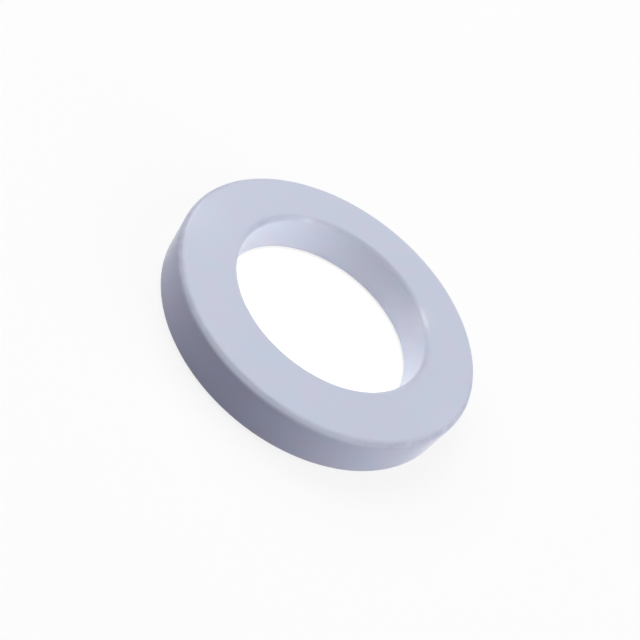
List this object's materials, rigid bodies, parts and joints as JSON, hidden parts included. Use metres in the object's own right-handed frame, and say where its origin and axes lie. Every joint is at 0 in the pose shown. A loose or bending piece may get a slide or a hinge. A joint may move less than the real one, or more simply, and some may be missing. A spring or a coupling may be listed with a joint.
{
  "type": "ferrite toroid core",
  "caption": "Flat ring core with a smooth pale coating, a wide open bore and broken, softly blended edges.",
  "frame": {"origin": "centre of the face that the ring lies on, on the ring's axis", "axes": "+Z along the ring's axis, out of its upper face; X and Y lie in the lower face and any turn about Z is the same"},
  "size_m": [0.087, 0.087, 0.0127],
  "materials": {
    "coating": "pale lavender-blue insulating coat on fired ferrite, smooth and semi-matt"
  },
  "bodies": {
    "root": {"toroid_core": "coating"}
  },
  "joints": []
}
